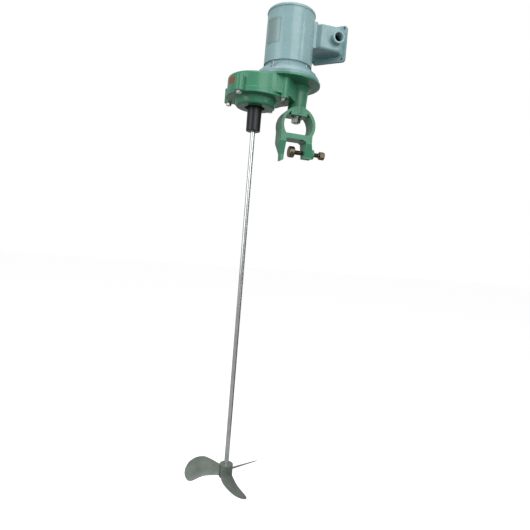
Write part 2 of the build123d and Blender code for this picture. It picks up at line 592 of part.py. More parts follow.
with BuildPart() as terminal_box:
    extrude(contour(level(BOX_Z - BOX_HEIGHT / 2), (30, -12, 4), (44, -22, 10), (99, -22, 12),
                    (LID_X + BODY_STEP, LID_Y - BODY_STEP - 3), (LID_X - BODY_STEP - 3, LID_Y + BODY_STEP),
                    (34, 40, 4)), amount=BOX_HEIGHT)
    rims = terminal_box.edges().filter_by(Plane.XY)
    fillet([edge for edge in rims if edge.distance_to((LID_X, LID_Y, BOX_Z + BOX_HEIGHT / 2)) > 4
            and edge.distance_to((LID_X, LID_Y, BOX_Z - BOX_HEIGHT / 2)) > 4], 7)
    extrude(lid_face(0, LID_SIZE, 8), amount=-LID_FLANGE)
    # the foot against the motor shell
    extrude(contour(level(BOX_Z - 32), (10, -14), (36, -14, 3), (36, 40, 3), (10, 40)), amount=68)
    revolve(contour(upright(MOTOR_X), (0, SHELL_BOTTOM_Z), (SHELL_BOTTOM_R, SHELL_BOTTOM_Z),
                    (SHELL_TOP_R, SHELL_TOP_Z), (0, SHELL_TOP_Z)), axis=spindle(MOTOR_X),
            mode=Mode.SUBTRACT)
    # the conduit hub
    extrude(disc(Plane(origin=(ENTRY_X, ENTRY_MOUTH_Y, BOX_Z), z_dir=(0, 1, 0)), ENTRY_R), amount=20)
    # the hollow
    extrude(contour(level(BOX_Z - BOX_HEIGHT / 2 + BOX_WALL), (36, -7, 3), (46, -17.5, 6),
                    (96, -17.5, 8), (LID_X + 27, LID_Y - 22), (LID_X - 22, LID_Y + 27), (40, 37, 3)),
            amount=BOX_HEIGHT - 2 * BOX_WALL, mode=Mode.SUBTRACT)
    extrude(disc(Plane(origin=(ENTRY_X, ENTRY_MOUTH_Y - 1, BOX_Z), z_dir=(0, 1, 0)), ENTRY_BORE_R),
            amount=30, mode=Mode.SUBTRACT)
    extrude(disc(across(0, 0, BOX_Z), LEAD_HOLE_R), amount=50, mode=Mode.SUBTRACT)
    extrude(lid_corners(1, 2.5), amount=-20, mode=Mode.SUBTRACT)
finish(terminal_box, "terminal_box")

with BuildPart() as terminal_gasket:
    extrude(lid_face(0, LID_SIZE - 1, 7.5, LID_OPENING), amount=LID_GASKET)
    extrude(lid_corners(-1, 2.5), amount=20, mode=Mode.SUBTRACT)
finish(terminal_gasket, "terminal_gasket")

with BuildPart() as terminal_lid:
    extrude(lid_face(LID_GASKET, LID_SIZE, 8), amount=LID_PLATE)
    chamfer(terminal_lid.faces().sort_by(Axis((0, 0, 0), (1, 1, 0)))[-1].edges(), 0.8)
    extrude(lid_corners(0, 2.5), amount=20, mode=Mode.SUBTRACT)
finish(terminal_lid, "terminal_lid")

with BuildPart() as lid_screws:
    extrude(lid_corners(-LID_FLANGE - 4, 2.5), amount=LID_FLANGE + 4 + LID_GASKET + LID_PLATE)
    extrude(lid_corners(LID_GASKET + LID_PLATE, 4.4), amount=3)
    chamfer(lid_screws.faces().sort_by(Axis((0, 0, 0), (1, 1, 0)))[-4:].edges(), 0.9)
finish(lid_screws, "lid_screws")

with BuildPart() as terminal_block:
    with BuildSketch(Plane(origin=(50, 10, BOX_Z), x_dir=(-1, 1, 0), z_dir=(1, 1, 0))) as block_face:
        with Locations((-16, 0)):
            RectangleRounded(28, 44, 3)
    extrude(block_face.sketch, amount=14)
    with BuildSketch(Plane(block_face.sketch.face()).offset(14)) as studs:
        with GridLocations(12, 14, 2, 3):
            Circle(2)
    extrude(studs.sketch, amount=8)
finish(terminal_block, "terminal_block")
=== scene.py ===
"""Clamp-on tank agitator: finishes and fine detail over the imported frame.

Run as a script in Blender. Sizes are metres in the frame's own axes: the agitator shaft
hangs at -X of the clamp's pivot, +Z is up, and the terminal box is at +X.
"""

import json
from math import cos, pi, radians, sin, tan

import bmesh
import bpy
from mathutils import Matrix, Vector


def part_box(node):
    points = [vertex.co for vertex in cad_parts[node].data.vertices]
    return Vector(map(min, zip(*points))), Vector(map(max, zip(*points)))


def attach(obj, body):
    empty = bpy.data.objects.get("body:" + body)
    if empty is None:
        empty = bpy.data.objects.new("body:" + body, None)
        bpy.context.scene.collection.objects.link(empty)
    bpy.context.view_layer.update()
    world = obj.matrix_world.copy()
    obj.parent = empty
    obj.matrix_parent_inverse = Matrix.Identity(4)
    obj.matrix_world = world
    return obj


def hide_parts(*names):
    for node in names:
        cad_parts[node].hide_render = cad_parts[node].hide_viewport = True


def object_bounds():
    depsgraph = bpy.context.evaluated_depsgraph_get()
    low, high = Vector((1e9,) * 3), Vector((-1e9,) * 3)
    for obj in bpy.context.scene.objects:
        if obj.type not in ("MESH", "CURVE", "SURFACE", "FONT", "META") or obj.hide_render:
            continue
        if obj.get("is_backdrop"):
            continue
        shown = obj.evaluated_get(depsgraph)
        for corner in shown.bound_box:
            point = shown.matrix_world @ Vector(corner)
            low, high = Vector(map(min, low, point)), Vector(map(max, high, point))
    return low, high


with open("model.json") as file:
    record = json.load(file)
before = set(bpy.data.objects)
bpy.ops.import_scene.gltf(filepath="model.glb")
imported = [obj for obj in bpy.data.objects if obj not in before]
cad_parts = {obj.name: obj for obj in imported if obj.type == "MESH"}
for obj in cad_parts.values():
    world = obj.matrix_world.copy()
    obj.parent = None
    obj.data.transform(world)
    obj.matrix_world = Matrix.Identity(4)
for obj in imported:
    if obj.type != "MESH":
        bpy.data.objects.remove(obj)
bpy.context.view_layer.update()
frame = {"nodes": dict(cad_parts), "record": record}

bl_info = {
    "name": "Tank agitator dresser",
    "version": (1, 0, 0),
    "blender": (4, 5, 0),
    "location": "View3D > Sidebar > Agitator",
    "description": "Paints the agitator's frame and adds its threads, bolt heads and plates",
    "category": "Object",
}

MM = 0.001
G34_PITCH = 1.814 * MM
G34_DEPTH = 0.75 * MM
LID_SCREW_LENGTH = 15.5 * MM
LID_HEAD_HEIGHT = 3 * MM
HEX_HEAD_M12 = 15 * MM
SHAFT_CHAMFER = 0.8 * MM
SHAFT_SECTIONS = 60
DRUM_RADIUS = 75 * MM


def centre(node):
    """The middle of a frame node's box."""
    low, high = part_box(node)
    return (low + high) / 2


def size(node):
    """The length of a frame node's box along each axis."""
    low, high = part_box(node)
    return high - low


MOTOR_AXIS = centre("motor_shell").xy
OUTPUT_AXIS = centre("output_shaft").xy
SHELL_LOW, SHELL_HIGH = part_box("motor_shell")
CASE_LOW, CASE_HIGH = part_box("gear_case")
CLAMP_SCREW_LOW, CLAMP_SCREW_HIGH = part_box("clamp_screw")


# ------------------------------------------------------------------ settings
def colour_property(name, description, default):
    """A colour setting with three channels."""
    return bpy.props.FloatVectorProperty(
        name=name, description=description, default=default, subtype="COLOR", size=3, min=0, max=1)


def length_property(name, description, default):
    """A length setting."""
    return bpy.props.FloatProperty(
        name=name, description=description, default=default, min=0, unit="LENGTH", precision=5)


def factor_property(name, description, default, high=1.0):
    """A plain number setting."""
    return bpy.props.FloatProperty(name=name, description=description, default=default, min=0, max=high)


class AgitatorPaint(bpy.types.PropertyGroup):
    """Colours and grain of the painted castings and sheet."""

    clamp: colour_property("Clamp", "Green enamel of the clamp", (0.060, 0.305, 0.165))
    case: colour_property("Gear case", "Green enamel of the gear case", (0.058, 0.300, 0.165))
    motor: colour_property("Motor", "Blue-grey enamel of the motor", (0.300, 0.480, 0.500))
    bracket: colour_property("Bracket", "Blue-grey enamel of the motor bracket", (0.240, 0.390, 0.415))
    sleeve: colour_property("Sleeve", "Black coating of the coupling sleeve", (0.014, 0.015, 0.018))
    wear: colour_property("Wear", "Bare metal where paint has worn off", (0.350, 0.360, 0.340))
    grain: length_property("Grain", "Depth of the cast grain under the paint", 0.18 * MM)


class AgitatorMetal(bpy.types.PropertyGroup):
    """Colours of the bare metals."""

    shaft: colour_property("Shaft", "Ground stainless steel", (0.660, 0.690, 0.680))
    propeller: colour_property("Propeller", "Cast stainless steel", (0.260, 0.300, 0.270))
    zinc: colour_property("Zinc", "Bright plated fasteners", (0.560, 0.570, 0.550))
    yellow_zinc: colour_property("Yellow zinc", "Yellow plated screw", (0.150, 0.132, 0.085))
    steel: colour_property("Steel", "Machined gear steel", (0.250, 0.255, 0.260))
    copper: colour_property("Copper", "Enamelled winding wire", (0.420, 0.150, 0.060))


class AgitatorDetail(bpy.types.PropertyGroup):
    """Sizes of the fine detail that the frame leaves plain."""

    screw_pitch: length_property("Screw pitch", "Pitch of the clamp screw's thread", 1.75 * MM)
    plate_width: length_property("Plate width", "Width of the bare rating plate", 44 * MM)
    plate_height: length_property("Plate height", "Height of the bare rating plate", 62 * MM)
    plate_angle: bpy.props.FloatProperty(
        name="Plate angle", description="Where the plate sits round the motor",
        default=radians(-152), subtype="ANGLE")
    sticker_angle: bpy.props.FloatProperty(
        name="Sticker angle", description="Where the bare sticker sits round the gear case",
        default=radians(-163), subtype="ANGLE")


class AgitatorStage(bpy.types.PropertyGroup):
    """Floor, lamps and camera."""

    floor_gap: length_property("Floor gap", "From the propeller down to the floor", 0.16)
    key_power: factor_property("Key", "Power of the large front lamp", 13.0, 500)
    fill_power: factor_property("Fill", "Power of the left lamp", 11.0, 500)
    strip_power: factor_property("Strip", "Power of the narrow right lamp", 5.0, 500)
    top_power: factor_property("Top", "Power of the lamp overhead", 10.0, 500)
    world: factor_property("World", "Strength of the room's even light", 0.50, 5)
    lens: bpy.props.FloatProperty(
        name="Lens", description="Focal length for a 36 mm sensor", default=31.487, unit="CAMERA")


def settings():
    """The scene's settings groups."""
    scene = bpy.context.scene
    return scene.agitator_paint, scene.agitator_metal, scene.agitator_detail, scene.agitator_stage


# ------------------------------------------------------------------ material nodes
class Finish:
    """A node material in the making."""

    def __init__(self, name, roughness=0.4, metallic=0.0):
        self.material = bpy.data.materials.new(name)
        self.material.use_nodes = True
        self.nodes = self.material.node_tree.nodes
        self.links = self.material.node_tree.links
        self.shader = self.nodes["Principled BSDF"]
        self.shader.inputs["Roughness"].default_value = roughness
        self.shader.inputs["Metallic"].default_value = metallic
        self.coordinates = self.nodes.new("ShaderNodeTexCoord").outputs["Object"]

    def stretched(self, scale):
        """The object's coordinates, scaled along each axis."""
        mapping = self.nodes.new("ShaderNodeMapping")
        mapping.inputs["Scale"].default_value = scale
        self.links.new(self.coordinates, mapping.inputs["Vector"])
        return mapping.outputs["Vector"]

    def noise(self, scale, detail=3.0, rough=0.55, vector=None):
        """A noise pattern's value."""
        node = self.nodes.new("ShaderNodeTexNoise")
        node.inputs["Scale"].default_value = scale
        node.inputs["Detail"].default_value = detail
        node.inputs["Roughness"].default_value = rough
        self.links.new(vector or self.coordinates, node.inputs["Vector"])
        return node.outputs["Fac"]

    def ramp(self, value, low, high, start=0.0, end=1.0):
        """A value spread from low..high to start..end, and held beyond."""
        node = self.nodes.new("ShaderNodeMapRange")
        node.inputs["From Min"].default_value = low
        node.inputs["From Max"].default_value = high
        node.inputs["To Min"].default_value = start
        node.inputs["To Max"].default_value = end
        self.links.new(value, node.inputs["Value"])
        return node.outputs["Result"]

    def maths(self, operation, first, second):
        """Two values, or a value and a number, combined."""
        node = self.nodes.new("ShaderNodeMath")
        node.operation = operation
        for socket, value in zip(node.inputs, (first, second)):
            if isinstance(value, (int, float)):
                socket.default_value = value
            else:
                self.links.new(value, socket)
        return node.outputs["Value"]

    def mixed(self, factor, first, second):
        """Two colours mixed by a factor; each is a colour or a socket."""
        node = self.nodes.new("ShaderNodeMix")
        node.data_type = "RGBA"
        self.links.new(factor, node.inputs["Factor"])
        for socket, value in ((node.inputs["A"], first), (node.inputs["B"], second)):
            if isinstance(value, bpy.types.NodeSocket):
                self.links.new(value, socket)
            else:
                socket.default_value = (*value, 1)
        return node.outputs["Result"]

    def edges(self, radius):
        """1 on edges sharper than a radius and 0 on plain faces, with the rounded normal."""
        rounded = self.nodes.new("ShaderNodeBevel")
        rounded.samples = 4
        rounded.inputs["Radius"].default_value = radius
        plain = self.nodes.new("ShaderNodeNewGeometry")
        dot = self.nodes.new("ShaderNodeVectorMath")
        dot.operation = "DOT_PRODUCT"
        self.links.new(rounded.outputs["Normal"], dot.inputs[0])
        self.links.new(plain.outputs["Normal"], dot.inputs[1])
        return self.ramp(dot.outputs["Value"], 0.995, 0.85), rounded.outputs["Normal"]

    def bump(self, height, distance, strength=1.0, normal=None):
        """Relief from a height value."""
        node = self.nodes.new("ShaderNodeBump")
        node.inputs["Strength"].default_value = strength
        node.inputs["Distance"].default_value = distance
        self.links.new(height, node.inputs["Height"])
        if normal is not None:
            self.links.new(normal, node.inputs["Normal"])
        return node.outputs["Normal"]

    def colour(self, socket):
        self.links.new(socket, self.shader.inputs["Base Color"])

    def rough(self, socket):
        self.links.new(socket, self.shader.inputs["Roughness"])

    def normal(self, socket):
        self.links.new(socket, self.shader.inputs["Normal"])


def shade(colour, amount):
    """A colour made lighter or darker."""
    return tuple(min(1.0, channel * amount) for channel in colour)


def enamel(name, colour, wear, grain, roughness=0.3, grain_scale=420.0, chips=0.62, dust=0.35):
    """Glossy paint over a casting or sheet, with grain, uneven tone and rubbed edges."""
    finish = Finish(name, roughness)
    finish.shader.inputs["Coat Weight"].default_value = 0.12
    finish.shader.inputs["Coat Roughness"].default_value = 0.12
    clouds = finish.ramp(finish.noise(14, 4), 0.35, 0.65)
    tone = finish.mixed(clouds, shade(colour, 0.90), shade(colour, 1.07))
    film = finish.ramp(finish.noise(45, 4, 0.55), 0.45, 0.85, 0, dust)
    dusty = finish.mixed(film, tone, shade(colour, 0.72))
    edge, rounded = finish.edges(0.7 * MM)
    broken = finish.ramp(finish.noise(190, 4, 0.7), chips, chips + 0.06)
    finish.colour(finish.mixed(finish.maths("MULTIPLY", edge, broken), dusty, wear))
    finish.rough(finish.ramp(finish.noise(120, 3), 0.3, 0.7, roughness - 0.06, roughness + 0.12))
    coarse = finish.noise(grain_scale, 5, 0.6)
    finish.normal(finish.bump(coarse, grain, 0.6, rounded))
    return finish.material


def turned_metal(name, colour, roughness, lines=1600.0, along="Z", tint=None, stain=0.25, spread=0.09):
    """Turned or ground metal with fine rings round an axis and a cloudy tone."""
    finish = Finish(name, roughness, 1.0)
    scale = [lines if axis == along else lines / 40 for axis in "XYZ"]
    rings = finish.noise(1.0, 2, 0.5, finish.stretched(scale))
    cloud = finish.ramp(finish.noise(38, 4, 0.6), 0.3, 0.7)
    tone = finish.mixed(cloud, shade(colour, 0.86), shade(colour, 1.1))
    if tint:
        tone = finish.mixed(finish.ramp(finish.noise(90, 4, 0.7), 0.5, 0.75, 0, stain * 2), tone, tint)
    finish.colour(tone)
    finish.rough(finish.ramp(rings, 0.2, 0.8, max(0.04, roughness - spread), roughness + spread))
    finish.normal(finish.bump(rings, 0.02 * MM * spread, 0.4))
    return finish.material


def cast_metal(name, colour, roughness, tint):
    """Cast and blasted metal, brushed across, with darker patches."""
    finish = Finish(name, roughness, 0.85)
    streaks = finish.noise(1.0, 3, 0.6, finish.stretched((90, 90, 900)))
    patches = finish.ramp(finish.noise(30, 5, 0.65), 0.35, 0.7)
    finish.colour(finish.mixed(patches, shade(colour, 1.12), tint))
    finish.rough(finish.ramp(streaks, 0.25, 0.75, roughness - 0.08, roughness + 0.14))
    _, rounded = finish.edges(0.6 * MM)
    finish.normal(finish.bump(finish.noise(900, 4, 0.6), 0.05 * MM, 0.5, rounded))
    return finish.material


def black_sleeve(name, colour):
    """Blackened turned steel with a satin sheen."""
    finish = Finish(name, 0.34, 0.2)
    rings = finish.noise(1.0, 2, 0.5, finish.stretched((30, 30, 1500)))
    rubbed = finish.ramp(finish.noise(60, 5, 0.7), 0.55, 0.75, 0, 0.5)
    edge, rounded = finish.edges(0.5 * MM)
    finish.colour(finish.mixed(finish.maths("MAXIMUM", rubbed, finish.maths("MULTIPLY", edge, 0.6)),
                               colour, shade(colour, 3.2)))
    finish.rough(finish.ramp(rings, 0.2, 0.8, 0.26, 0.42))
    finish.normal(finish.bump(rings, 0.02 * MM, 0.5, rounded))
    return finish.material


def rubber(name, colour=(0.016, 0.016, 0.017)):
    """Moulded rubber, matt and faintly mottled."""
    finish = Finish(name, 0.7)
    grain = finish.noise(700, 3)
    finish.colour(finish.mixed(finish.ramp(grain, 0.3, 0.7), colour, shade(colour, 1.7)))
    finish.normal(finish.bump(grain, 0.03 * MM, 0.5))
    return finish.material


def laminations(name, colour):
    """A stack of thin steel sheets under varnish."""
    finish = Finish(name, 0.42, 0.9)
    sheets = finish.nodes.new("ShaderNodeTexWave")
    sheets.bands_direction = "Z"
    sheets.inputs["Scale"].default_value = 300
    finish.links.new(finish.coordinates, sheets.inputs["Vector"])
    finish.colour(finish.mixed(sheets.outputs["Fac"], shade(colour, 0.45), colour))
    finish.normal(finish.bump(sheets.outputs["Fac"], 0.1 * MM, 0.6))
    return finish.material


def wound_wire(name, colour):
    """Bundled enamelled wire."""
    finish = Finish(name, 0.35, 0.7)
    turns = finish.nodes.new("ShaderNodeTexWave")
    turns.wave_type = "RINGS"
    turns.rings_direction = "Z"
    turns.inputs["Scale"].default_value = 330
    turns.inputs["Distortion"].default_value = 2
    moved = finish.nodes.new("ShaderNodeMapping")
    moved.inputs["Location"].default_value = (-MOTOR_AXIS.x, -MOTOR_AXIS.y, 0)
    finish.links.new(finish.coordinates, moved.inputs["Vector"])
    finish.links.new(moved.outputs["Vector"], turns.inputs["Vector"])
    finish.colour(finish.mixed(turns.outputs["Fac"], shade(colour, 0.4), colour))
    finish.normal(finish.bump(turns.outputs["Fac"], 0.3 * MM, 0.7))
    return finish.material


def moulded(name, colour, roughness=0.45):
    """Moulded plastic with a fine skin."""
    finish = Finish(name, roughness)
    grain = finish.noise(1200, 2)
    clouds = finish.ramp(finish.noise(50, 3), 0.3, 0.7)
    finish.colour(finish.mixed(clouds, shade(colour, 0.9), shade(colour, 1.1)))
    finish.normal(finish.bump(grain, 0.02 * MM, 0.4))
    return finish.material


# ------------------------------------------------------------------ mesh helpers
def skin(mesh, rows, place, steps=48, closed_ends=True):
    """Rows of points round Z, each a function of the angle, joined into one skin."""
    rings = []
    for row in rows:
        ring = []
        for step in range(steps):
            angle = 2 * pi * step / steps
            radius, height = row(angle) if callable(row) else row
            ring.append(mesh.verts.new(place @ Vector((radius * cos(angle), radius * sin(angle), height))))
        rings.append(ring)
    for lower, upper in zip(rings, rings[1:]):
        for step in range(steps):
            following = (step + 1) % steps
            mesh.faces.new((lower[step], lower[following], upper[following], upper[step]))
    if closed_ends:
        mesh.faces.new(list(reversed(rings[0])))
        mesh.faces.new(rings[-1])


def hex_row(across_flats, height, chamfer=0.0, top=True):
    """A hexagon's row, whose corners drop away where a 30 degree cone cuts them."""
    inner = across_flats * 0.475

    def row(angle):
        radius = across_flats / 2 / cos((angle + pi / 6) % (pi / 3) - pi / 6)
        drop = max(0.0, radius - inner) * tan(radians(30)) if chamfer else 0.0
        return radius, height - drop if top else height + drop

    return row


def hex_head(mesh, place, across_flats, height, chamfer_base=False):
    """A hexagon head that stands on its place, with a turned chamfer on top."""
    inner = across_flats * 0.475
    rows = [(inner, 0)] if chamfer_base else []
    rows += [hex_row(across_flats, 0, chamfer_base, top=False), hex_row(across_flats, height, 1),
             (inner, height), (inner * 0.55, height), (inner * 0.5, height - 0.0001)]
    skin(mesh, rows, place, steps=72)


def collar(mesh, place, outer, inner, height, edge=0.2 * MM):
    """A round washer or ring with softened edges."""
    rows = [(inner, 0), (outer - edge, 0), (outer, edge), (outer, height - edge),
            (outer - edge, height), (inner, height), (inner, 0)]
    skin(mesh, rows, place, closed_ends=False)


def thread(mesh, place, crest, pitch, length, depth, steps=28, inward=False):
    """A screw thread as one helical skin with flat crests."""
    sign = -1 if inward else 1
    root = crest - sign * depth
    profile = ((root, 0.02), (crest, 0.42), (crest, 0.58), (root, 0.98))
    count = int((length / pitch - 1) * steps)
    previous = None
    for step in range(count + 1):
        angle = 2 * pi * step / steps
        run_in = min(1.0, step / steps, (count - step) / steps)
        current = []
        for radius, part in profile:
            lifted = root + (radius - root) * run_in
            height = pitch * (step / steps + part)
            current.append(mesh.verts.new(place @ Vector((lifted * cos(angle), lifted * sin(angle), height))))
        if previous:
            for first in range(len(profile) - 1):
                quad = (previous[first], current[first], current[first + 1], previous[first + 1])
                mesh.faces.new(quad if not inward else tuple(reversed(quad)))
        previous = current
    core = root + sign * 0.02 * MM
    skin(mesh, [(core, 0), (core, length)], place, closed_ends=False)


def round_head(mesh, place, radius, height, recess):
    """A low domed screw head with a sunk round seat for its cross."""
    rows = [(radius, 0), (radius, height * 0.35)]
    rows += [(radius * cos(turn) * 0.98, height * (0.35 + 0.65 * sin(turn))) for turn in
             (radians(angle) for angle in (15, 32, 50, 66))]
    rows += [(radius * recess, height), (radius * recess * 0.8, height * 0.55)]
    skin(mesh, rows, place, steps=40)


def cross_recess(mesh, place, span, width, depth):
    """A dark cross sunk into a screw head."""
    for turn in (0, pi / 2):
        turned = place @ Matrix.Rotation(turn, 4, "Z")
        corners = [Vector((x * span / 2, y * width / 2, 0)) for x, y in ((-1, -1), (1, -1), (1, 1), (-1, 1))]
        top = [mesh.verts.new(turned @ corner) for corner in corners]
        low = [mesh.verts.new(turned @ (corner * 0.7 - Vector((0, 0, depth)))) for corner in corners]
        for side in range(4):
            following = (side + 1) % 4
            mesh.faces.new((top[following], top[side], low[side], low[following]))
        mesh.faces.new(low)


def place_at(point, direction=(0, 0, 1)):
    """A placing whose Z points along a direction."""
    turn = Vector(direction).to_track_quat("Z", "Y").to_matrix().to_4x4()
    return Matrix.Translation(point) @ turn


def make_piece(mesh, name, material, body, replaces=(), angle=35):
    """Turn a bmesh into a piece that rides on a body."""
    data = bpy.data.meshes.new(name)
    bmesh.ops.recalc_face_normals(mesh, faces=mesh.faces)
    mesh.to_mesh(data)
    mesh.free()
    data.polygons.foreach_set("use_smooth", [True] * len(data.polygons))
    data.set_sharp_from_angle(angle=radians(angle))
    data.materials.append(material)
    piece = bpy.data.objects.new(name, data)
    bpy.context.scene.collection.objects.link(piece)
    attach(piece, body)
    if replaces:
        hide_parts(*replaces)
    return piece


def loose_parts(node):
    """The boxes of a node's separate solids, as (low, high) corners."""
    mesh = bmesh.new()
    mesh.from_mesh(frame["nodes"][node].data)
    bmesh.ops.remove_doubles(mesh, verts=mesh.verts, dist=1e-7)
    mesh.verts.ensure_lookup_table()
    seen, boxes = set(), []
    for start in mesh.verts:
        if start.index in seen:
            continue
        stack, found = [start], []
        seen.add(start.index)
        while stack:
            vertex = stack.pop()
            found.append(vertex.co.copy())
            for edge in vertex.link_edges:
                other = edge.other_vert(vertex)
                if other.index not in seen:
                    seen.add(other.index)
                    stack.append(other)
        boxes.append((Vector(map(min, *found)), Vector(map(max, *found))))
    mesh.free()
    return boxes


MATERIALS = {}


# ------------------------------------------------------------------ operators
class PaintFrame(bpy.types.Operator):
    """Make the finishes and put them on the frame's own nodes"""

    bl_idname = "agitator.paint_frame"
    bl_label = "Paint the frame"

    def execute(self, context):
        paint, metal, _, _ = settings()
        MATERIALS.update(
            clamp_paint=enamel("Clamp enamel", paint.clamp, paint.wear, paint.grain, 0.36),
            case_paint=enamel("Gearbox enamel", paint.case, paint.wear, paint.grain * 0.7, 0.30, 380),
            motor_paint=enamel("Motor enamel", paint.motor, paint.wear, paint.grain * 0.03, 0.2, 500,
                               chips=0.7, dust=0.1),
            bracket_paint=enamel("Bracket enamel", paint.bracket, paint.wear, paint.grain * 0.3, 0.28,
                                 dust=0.2),
            sleeve_black=black_sleeve("Sleeve black", paint.sleeve),
            shaft_stainless=turned_metal("Ground stainless", metal.shaft, 0.2, 400, spread=0.02),
            propeller_stainless=cast_metal("Cast stainless", metal.propeller, 0.42, (0.20, 0.235, 0.20)),
            screw_zinc=turned_metal("Yellow zinc", metal.yellow_zinc, 0.34, 900, "X", (0.16, 0.17, 0.11)),
            fastener_zinc=turned_metal("Bright zinc", metal.zinc, 0.26, 700, "Z", (0.40, 0.36, 0.26)),
            gear_steel=turned_metal("Gear steel", metal.steel, 0.3, 900),
            bearing_steel=turned_metal("Bearing steel", shade(metal.shaft, 1.1), 0.14, 1200),
            lamination_steel=laminations("Laminations", metal.steel),
            winding_copper=wound_wire("Winding wire", metal.copper),
            seal_rubber=rubber("Seal rubber"),
            terminal_plastic=moulded("Terminal plastic", (0.045, 0.042, 0.040)),
        )
        slots = {row["node"]: row["material_slot"] for row in frame["record"]["subparts"]}
        for node, piece in frame["nodes"].items():
            material = MATERIALS[slots[node]]
            for place in piece.material_slots:
                place.material = material
            if not piece.material_slots:
                piece.data.materials.append(material)
            piece.data.polygons.foreach_set("use_smooth", [True] * len(piece.data.polygons))
            piece.data.set_sharp_from_angle(angle=radians(32))
        # the cover's gasket was painted over with the case
        frame["nodes"]["cover_gasket"].material_slots[0].material = MATERIALS["case_paint"]
        return {"FINISHED"}


class DressClampScrew(bpy.types.Operator):
    """Cut the clamp screw's thread and turn its hexagon head"""

    bl_idname = "agitator.dress_clamp_screw"
    bl_label = "Clamp screw"

    def execute(self, context):
        detail = settings()[2]
        low, high = CLAMP_SCREW_LOW, CLAMP_SCREW_HIGH
        axis_z = (low.z + high.z) / 2
        pad_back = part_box("pressure_pad")[1].x
        head_start = high.x - HEX_HEAD_M12
        mesh = bmesh.new()
        thread(mesh, place_at((pad_back + 1.5 * MM, 0, axis_z), (1, 0, 0)), 6 * MM, detail.screw_pitch,
               head_start - pad_back - 1.5 * MM, 1.07 * MM)
        skin(mesh, [(4.4 * MM, 0), (4.4 * MM, pad_back - low.x + 3 * MM)],
             place_at((low.x, 0, axis_z), (1, 0, 0)))
        hex_head(mesh, place_at((head_start, 0, axis_z), (1, 0, 0)), 19 * MM, HEX_HEAD_M12, True)
        make_piece(mesh, "clamp_screw_cut", MATERIALS["screw_zinc"], "screw", ["clamp_screw"])
        return {"FINISHED"}


class DressBolts(bpy.types.Operator):
    """Turn the heads, washers and thread ends of the hexagon bolts and the pivot nut"""

    bl_idname = "agitator.dress_bolts"
    bl_label = "Hexagon bolts"

    def execute(self, context):
        zinc = MATERIALS["fastener_zinc"]
        mesh = bmesh.new()
        for low, high in loose_parts("cover_bolts"):
            x, y = (low.x + high.x) / 2, (low.y + high.y) / 2
            flange = low.z + 7.1 * MM
            collar(mesh, place_at((x, y, flange - 1.6 * MM)), 8 * MM, 4 * MM, 1.6 * MM)
            hex_head(mesh, place_at((x, y, flange - 1.6 * MM), (0, 0, -1)), 13 * MM, 5.5 * MM)
            skin(mesh, [(4 * MM, 0), (4 * MM, high.z - flange)], place_at((x, y, flange)))
        make_piece(mesh, "cover_bolts_cut", zinc, "head", ["cover_bolts"])

        mesh = bmesh.new()
        for low, high in loose_parts("motor_bolts"):
            x, y = (low.x + high.x) / 2, (low.y + high.y) / 2
            seat = high.z - 5.6 * MM
            collar(mesh, place_at((x, y, seat)), 6.5 * MM, 3 * MM, 1.4 * MM)
            hex_head(mesh, place_at((x, y, seat + 1.4 * MM)), 10 * MM, 4.2 * MM)
            thread(mesh, place_at((x, y, low.z)), 3 * MM, 1 * MM, seat - low.z, 0.5 * MM, steps=20)
        make_piece(mesh, "motor_bolts_cut", zinc, "head", ["motor_bolts"])

        low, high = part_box("pivot_nut")
        stud_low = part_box("pivot_stud")[0].z
        mesh = bmesh.new()
        hex_head(mesh, place_at((0, 0, high.z), (0, 0, -1)), 22 * MM, high.z - low.z, True)
        thread(mesh, place_at((0, 0, stud_low - 0.3 * MM)), 6.9 * MM, 2 * MM, 8 * MM, 1.0 * MM)
        skin(mesh, [(3 * MM, 0), (5.8 * MM, 0), (5.9 * MM, 0.6 * MM)], place_at((0, 0, stud_low - 0.3 * MM)))
        make_piece(mesh, "pivot_nut_cut", zinc, "head", ["pivot_nut"])
        return {"FINISHED"}


class DressSmallScrews(bpy.types.Operator):
    """Shape the domed heads of the lid screws and the bracket screws"""

    bl_idname = "agitator.dress_small_screws"
    bl_label = "Small screws"

    def execute(self, context):
        zinc = MATERIALS["fastener_zinc"]
        normal = Vector((1, 1, 0)).normalized()
        mesh = bmesh.new()
        for low, high in loose_parts("lid_screws"):
            middle = (low + high) / 2
            shank = LID_SCREW_LENGTH - LID_HEAD_HEIGHT
            inner = middle - normal * LID_SCREW_LENGTH / 2
            thread(mesh, place_at(inner, normal), 2.5 * MM, 0.8 * MM, shank, 0.4 * MM, steps=18)
            head = inner + normal * shank
            round_head(mesh, place_at(head, normal), 4.4 * MM, LID_HEAD_HEIGHT, 0.35)
            cross_recess(mesh, place_at(head + normal * 3.02 * MM, normal), 4.6 * MM, 1.1 * MM, 1.6 * MM)
        make_piece(mesh, "lid_screws_cut", MATERIALS["motor_paint"], "head", ["lid_screws"])

        mesh = bmesh.new()
        for low, high in loose_parts("bracket_screws"):
            middle = (low + high) / 2
            outward = Vector((middle.x - MOTOR_AXIS.x, middle.y - MOTOR_AXIS.y, 0)).normalized()
            seat = Vector((MOTOR_AXIS.x, MOTOR_AXIS.y, middle.z)) + outward * 61.5 * MM
            skin(mesh, [(2 * MM, 0), (2 * MM, 10 * MM)], place_at(seat, -outward))
            round_head(mesh, place_at(seat, outward), 4 * MM, 3 * MM, 0.35)
            cross_recess(mesh, place_at(seat + outward * 3.02 * MM, outward), 4.2 * MM, 1 * MM, 1.5 * MM)
        make_piece(mesh, "bracket_screws_cut", zinc, "head", ["bracket_screws"])
        return {"FINISHED"}


